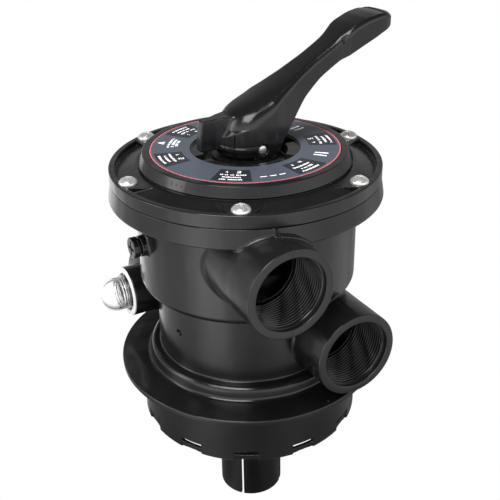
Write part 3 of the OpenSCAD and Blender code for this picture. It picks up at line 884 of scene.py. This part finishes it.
def make_bevel_ticks():
    """A raised index scale on the bevel of the dome, over the front left."""
    build = bmesh.new()
    slope_dir = Vector((-3.8, 0, 7.2)).normalized()
    out_dir = Vector((7.2, 0, 3.8)).normalized()
    for k in range(TICKS):
        angle = FIRST_TICK + TICK_STEP * k
        long_tick = k % 3 == 0
        half_len = 1.5 if long_tick else 0.9
        block = bmesh.ops.create_cube(build, size=1)["verts"]
        frame_matrix = Matrix((Vector((0, 1, 0)), slope_dir, out_dir)).transposed().to_4x4()
        size = Matrix.Diagonal((0.55, 2 * half_len, 0.5, 1))
        spot = Matrix.Translation((73.15, 0, 162.35))
        turn = Matrix.Rotation(math.radians(angle - 90), 4, "Z")
        place = Matrix.Scale(MM, 4) @ turn @ spot @ frame_matrix @ size
        bmesh.ops.transform(build, matrix=place, verts=block)
    bmesh.ops.bevel(build, geom=build.edges[:], offset=0.12 * MM, segments=1, affect="EDGES")
    mesh = bpy.data.meshes.new("bevel_ticks")
    build.to_mesh(mesh)
    build.free()
    return place_object("bevel_ticks", mesh)


# ---------------------------------------------------------------------------------------------
# Materials: all procedural. Scales are waves per metre, depths are in metres.
# ---------------------------------------------------------------------------------------------
GRAIN_SCALE = 1500
GRAIN_DEPTH = 0.0001
RIPPLE_SCALE = 32


def node(tree, kind, inputs=(), operation=None):
    """A new shader node. inputs maps its inputs to values, or to outputs of other nodes."""
    made = tree.nodes.new("ShaderNode" + kind)
    if operation:
        made.operation = operation
    for key, value in dict(inputs).items():
        if isinstance(value, bpy.types.NodeSocket):
            tree.links.new(value, made.inputs[key])
        else:
            made.inputs[key].default_value = value
    return made


def noise(tree, where, scale, detail):
    return node(tree, "TexNoise", {"Vector": where, "Scale": scale, "Detail": detail}).outputs["Fac"]


def ramp_range(tree, value, start, end, low, high):
    """The value's range start to end, stretched to low to high."""
    stretched = node(tree, "MapRange", {
        "Value": value, "From Min": start, "From Max": end, "To Min": low, "To Max": high})
    return stretched.outputs["Result"]


def material(name, color, rough, metal=0.0, mottle=0.0, mottle_scale=60, grain=0.0, rough_spread=0.06,
             clear=False, ior=1.5, ripple=0.0):
    """Principled material: noise shifts the colour and roughness, and bumps the skin, finely and in waves."""
    made = bpy.data.materials.new(name)
    made.use_nodes = True
    tree = made.node_tree
    shader = tree.nodes["Principled BSDF"]
    where = node(tree, "TexCoord").outputs["Object"]
    cloud = noise(tree, where, mottle_scale, 5)
    tint = ramp_range(tree, cloud, 0.3, 0.7, 1 - mottle, 1 + mottle)
    shade = node(tree, "VectorMath", {0: color, "Scale": tint}, "SCALE")
    polish = ramp_range(tree, cloud, 0.3, 0.7, rough - rough_spread, rough + rough_spread)
    tree.links.new(shade.outputs["Vector"], shader.inputs["Base Color"])
    tree.links.new(polish, shader.inputs["Roughness"])
    shader.inputs["Metallic"].default_value = metal
    shader.inputs["IOR"].default_value = ior
    if clear:
        shader.inputs["Transmission Weight"].default_value = 1
    if grain:
        fine = noise(tree, where, GRAIN_SCALE, 3)
        bump = node(tree, "Bump", {"Strength": grain, "Distance": GRAIN_DEPTH, "Height": fine})
        tree.links.new(bump.outputs["Normal"], shader.inputs["Normal"])
        if ripple:
            stretch = node(tree, "Mapping", {"Vector": where, "Scale": (1, 1, 0.3)})
            swell = noise(tree, stretch.outputs["Vector"], RIPPLE_SCALE, 2)
            sway = node(tree, "Bump", {"Strength": 1, "Distance": ripple, "Height": swell})
            tree.links.new(sway.outputs["Normal"], bump.inputs["Normal"])
    return made


def finish_of(piece, made):
    piece.data.materials.clear()
    piece.data.materials.append(made)


# ---------------------------------------------------------------------------------------------
# Build
# ---------------------------------------------------------------------------------------------
black = material("black_plastic", (0.0065, 0.0065, 0.007), 0.21, mottle=0.1, grain=0.1, rough_spread=0.03,
                 ripple=0.0011)
black_deep = material("black_lever", (0.0055, 0.0055, 0.006), 0.19, mottle=0.06, grain=0.04,
                      rough_spread=0.02)
slate = material("slate_print", (0.048, 0.056, 0.072), 0.42, mottle=0.04)
dark_print = material("dark_print", (0.014, 0.016, 0.021), 0.4, mottle=0.05)
rose = material("rose_print", (0.42, 0.1, 0.13), 0.45, mottle=0.05)
white_print = material("white_print", (0.78, 0.78, 0.8), 0.5, mottle=0.03)
white_plastic = material("white_plastic", (0.8, 0.8, 0.8), 0.35, mottle=0.03)
steel = material("bright_steel", (0.74, 0.73, 0.72), 0.27, metal=0.8, mottle=0.12, mottle_scale=350,
                 grain=0.2, rough_spread=0.08)
# steel made far darker than real steel: painted shade, for the steel washer in the shadow under the hub
steel_in_painted_shade = material("steel_in_painted_shade", (0.09, 0.09, 0.09), 0.45, metal=1, mottle=0.1, mottle_scale=350)
brass = material("brass", (0.72, 0.5, 0.22), 0.3, metal=1, mottle=0.1, mottle_scale=300)
rubber = material("seal_rubber", (0.012, 0.012, 0.012), 0.6, mottle=0.2, mottle_scale=200, grain=0.3)
rotor_black = material("rotor_plastic", (0.014, 0.014, 0.015), 0.4, mottle=0.12)
clear = material("clear_plastic", (1, 1, 1), 0.03, clear=True, ior=1.49, rough_spread=0.015, mottle_scale=90)

shown = []


def add(piece, body, made, replaced=None):
    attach(piece, body)
    finish_of(piece, made)
    if replaced:
        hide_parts(*replaced)
    shown.append(piece)
    return piece


add(make_body(), "housing", black, ["valve_body"])
for port_row, letter in zip(PORTS, "abc"):
    add(port_mouth(f"port_{letter}_mouth", *port_row), "housing", black)
add(make_mould_lines(), "housing", black)
add(make_cover(), "housing", black, ["cover"])
add(make_bevel_ticks(), "housing", black)
screws = make_screws()
for i, screw in enumerate(screws):
    add(screw, "housing", steel, ["cover_screws"] if i == 0 else None)
disc, rim, patch, prints = make_label()
add(disc, "housing", slate, ["label_plate"])
add(rim, "housing", rose)
add(patch, "housing", dark_print)
add(prints, "housing", white_print)
add(make_lever(), "lever", black_deep, ["handle"])
add(make_pin(), "diverter", steel, ["handle_pin"])
add(make_glass(), "housing", clear, ["sight_glass"])
add(make_glass_ring(), "housing", white_plastic, ["sight_glass_gasket"])
add(make_plug(), "housing", black, ["gauge_plug"])
add(make_tube(), "housing", black, ["centre_tube"])

# the steel washer under the hub gets the darkened steel, which paints the shade there
CAD_FINISH = {
    "flange_inserts": brass, "spider_gasket": rubber, "rotor": rotor_black, "stem_orings": rubber,
    "spring": steel, "spring_washer": steel, "cover_oring": rubber, "thrust_washer": rotor_black,
    "steel_washer": steel_in_painted_shade, "gauge_plug_oring": rubber, "tube_oring": rubber, "neck_oring": rubber}
for cad_name, made in CAD_FINISH.items():
    mesh = frame["nodes"][cad_name].data
    mesh.materials.clear()
    mesh.materials.append(made)

# ---------------------------------------------------------------------------------------------
# Studio: a pale floor that glows with painted light and shade, soft boxes, and the camera.
# ---------------------------------------------------------------------------------------------
scene = bpy.context.scene
scene.view_settings.view_transform = "Standard"

floor_z = TUBE_LOW[2] * MM
bpy.ops.mesh.primitive_plane_add(size=14, location=(0, 0, floor_z - 0.0005))
floor = bpy.context.object
floor.name = "studio_floor"


STOP_SCALE = 2.0
# painted light on the floor by distance from the object: painted shade close to it stands in for its shadow in
# reflections, and it grows brighter further out
PAINTED_FLOOR_LIGHT_BY_DISTANCE = [(0, 0.1), (0.1, 0.4), (0.16, 0.35), (0.25, 0.65), (0.36, 1.35), (0.5, 1.5), (1.0, 1.4)]
# painted light on the floor by side, in degrees from the side facing the camera, negative to its left: the
# brighter sides paint highlights on the black walls
PAINTED_FLOOR_LIGHT_BY_SIDE = [(-180, 0.9), (-160, 0.8), (-145, 1.1), (-130, 0.9), (-112, 0.5), (-85, 0.45), (-64, 0.6),
                 (-42, 1.6), (-30, 1.6), (-12, 0.75), (10, 0.5), (34, 0.9), (60, 0.6), (95, 0.5), (113, 0.5),
                 (130, 0.22), (160, 0.25), (180, 0.9)]
LOOK = Vector((0.41833, 0.78247, -0.46123)).normalized()
LEVEL_RIGHT = LOOK.cross(Vector((0, 0, 1))).normalized()
TOWARDS_CAMERA = Vector((0, 0, 1)).cross(LEVEL_RIGHT) * -1


def ramp(tree, value, stops):
    """A colour ramp of (place, brightness) stops, at most STOP_SCALE bright, over a value."""
    made = node(tree, "ValToRGB", {"Fac": value})
    elements = made.color_ramp.elements
    elements.remove(elements[0])
    for i, (place, brightness) in enumerate(stops):
        stop = elements[0] if i == 0 else elements.new(place)
        stop.position = place
        shade = brightness / STOP_SCALE
        stop.color = (shade, shade, shade, 1)
    return made.outputs["Color"]


def seen_white(tree, strength):
    """1 where the camera looks straight at it, and the strength everywhere else."""
    seen = node(tree, "LightPath").outputs["Is Camera Ray"]
    return node(tree, "Mix", {0: seen, 2: strength, 3: 1}).outputs[0]


def painted_light_floor():
    """A floor that glows with painted light. It is even white to the camera. In reflections it shows painted shade
    close to the object, and brighter painted light further out and to some sides.
    """
    made = bpy.data.materials.new("painted_light_floor")
    made.use_nodes = True
    tree = made.node_tree
    tree.nodes.clear()
    where = node(tree, "NewGeometry").outputs["Position"]
    reach = node(tree, "VectorMath", {0: where, 1: (-0.02, -0.05, floor_z)}, "DISTANCE").outputs["Value"]
    near = ramp(tree, reach, PAINTED_FLOOR_LIGHT_BY_DISTANCE)
    # the side of the object, as a share of a turn: 0.5 faces the camera, less is to its left
    sides = [node(tree, "VectorMath", {0: where, 1: across}, "DOT_PRODUCT").outputs["Value"]
             for across in (LEVEL_RIGHT, TOWARDS_CAMERA)]
    turn = node(tree, "Math", {0: sides[0], 1: sides[1]}, "ARCTAN2").outputs["Value"]
    share = node(tree, "Math", {0: turn, 1: 1 / (2 * math.pi), 2: 0.5}, "MULTIPLY_ADD").outputs["Value"]
    around = ramp(tree, share, [(0.5 + angle / 360, brightness) for angle, brightness in PAINTED_FLOOR_LIGHT_BY_SIDE])
    both = node(tree, "Math", {0: near, 1: around}, "MULTIPLY").outputs["Value"]
    gain = node(tree, "Math", {0: both, 1: STOP_SCALE ** 2}, "MULTIPLY").outputs["Value"]
    # the floor glows with this painted light and shade, though it is no lamp
    glow = node(tree, "Emission", {"Color": (1, 1, 1, 1), "Strength": seen_white(tree, gain)})
    node(tree, "OutputMaterial", {"Surface": glow.outputs["Emission"]})
    return made


floor.data.materials.append(painted_light_floor())

world = bpy.data.worlds.new("studio")
scene.world = world
world.use_nodes = True
world_tree = world.node_tree
sky = world_tree.nodes["Background"]
direction = node(world_tree, "TexCoord").outputs["Generated"]
height = node(world_tree, "SeparateXYZ", {"Vector": direction}).outputs["Z"]
low_sky = ramp_range(world_tree, height, 0.35, 0.65, 1, 0)
facing = node(world_tree, "VectorMath", {0: direction, 1: TOWARDS_CAMERA}, "DOT_PRODUCT").outputs["Value"]
front = ramp_range(world_tree, facing, -0.5, 0.5, 0.32, 1.5)
sky_glow = node(world_tree, "Math", {0: low_sky, 1: front, 2: 0.04}, "MULTIPLY_ADD").outputs["Value"]
world_tree.links.new(seen_white(world_tree, sky_glow), sky.inputs["Strength"])
sky.inputs["Color"].default_value = (1, 1, 1, 1)


def softbox(name, place, target, width, height, power, in_reflections=True):
    light = bpy.data.lights.new(name, "AREA")
    light.shape = "RECTANGLE"
    light.size, light.size_y = width, height
    light.energy = power
    lamp = bpy.data.objects.new(name, light)
    lamp.location = place
    lamp.rotation_euler = (Vector(target) - Vector(place)).to_track_quat("-Z", "Y").to_euler()
    lamp.visible_glossy = in_reflections
    scene.collection.objects.link(lamp)


softbox("key", (-0.88, -0.66, 1.7), (0, 0, 0.1), 1.0, 1.0, 24)
softbox("overhead_fill", (-0.2, -0.25, 2.1), (0, 0, 0), 0.9, 0.9, 60, in_reflections=False)
softbox("left", (-2.0, 0.6, 0.9), (0, 0, 0.05), 0.7, 1.6, 10)

camera_data = bpy.data.cameras.new("photo_angle")
camera_data.lens = 59.3
camera_data.sensor_width = 36
camera = bpy.data.objects.new("photo_angle", camera_data)
scene.collection.objects.link(camera)
scene.camera = camera
eye = Vector((-0.25262, -0.47709, 0.36537))
level_up = LEVEL_RIGHT.cross(LOOK)
roll = -0.01726
right = LEVEL_RIGHT * math.cos(roll) + level_up * math.sin(roll)
up = right.cross(LOOK)
camera.matrix_world = Matrix.Translation(eye) @ Matrix((right, up, -LOOK)).transposed().to_4x4()
camera_data.clip_start = 0.01
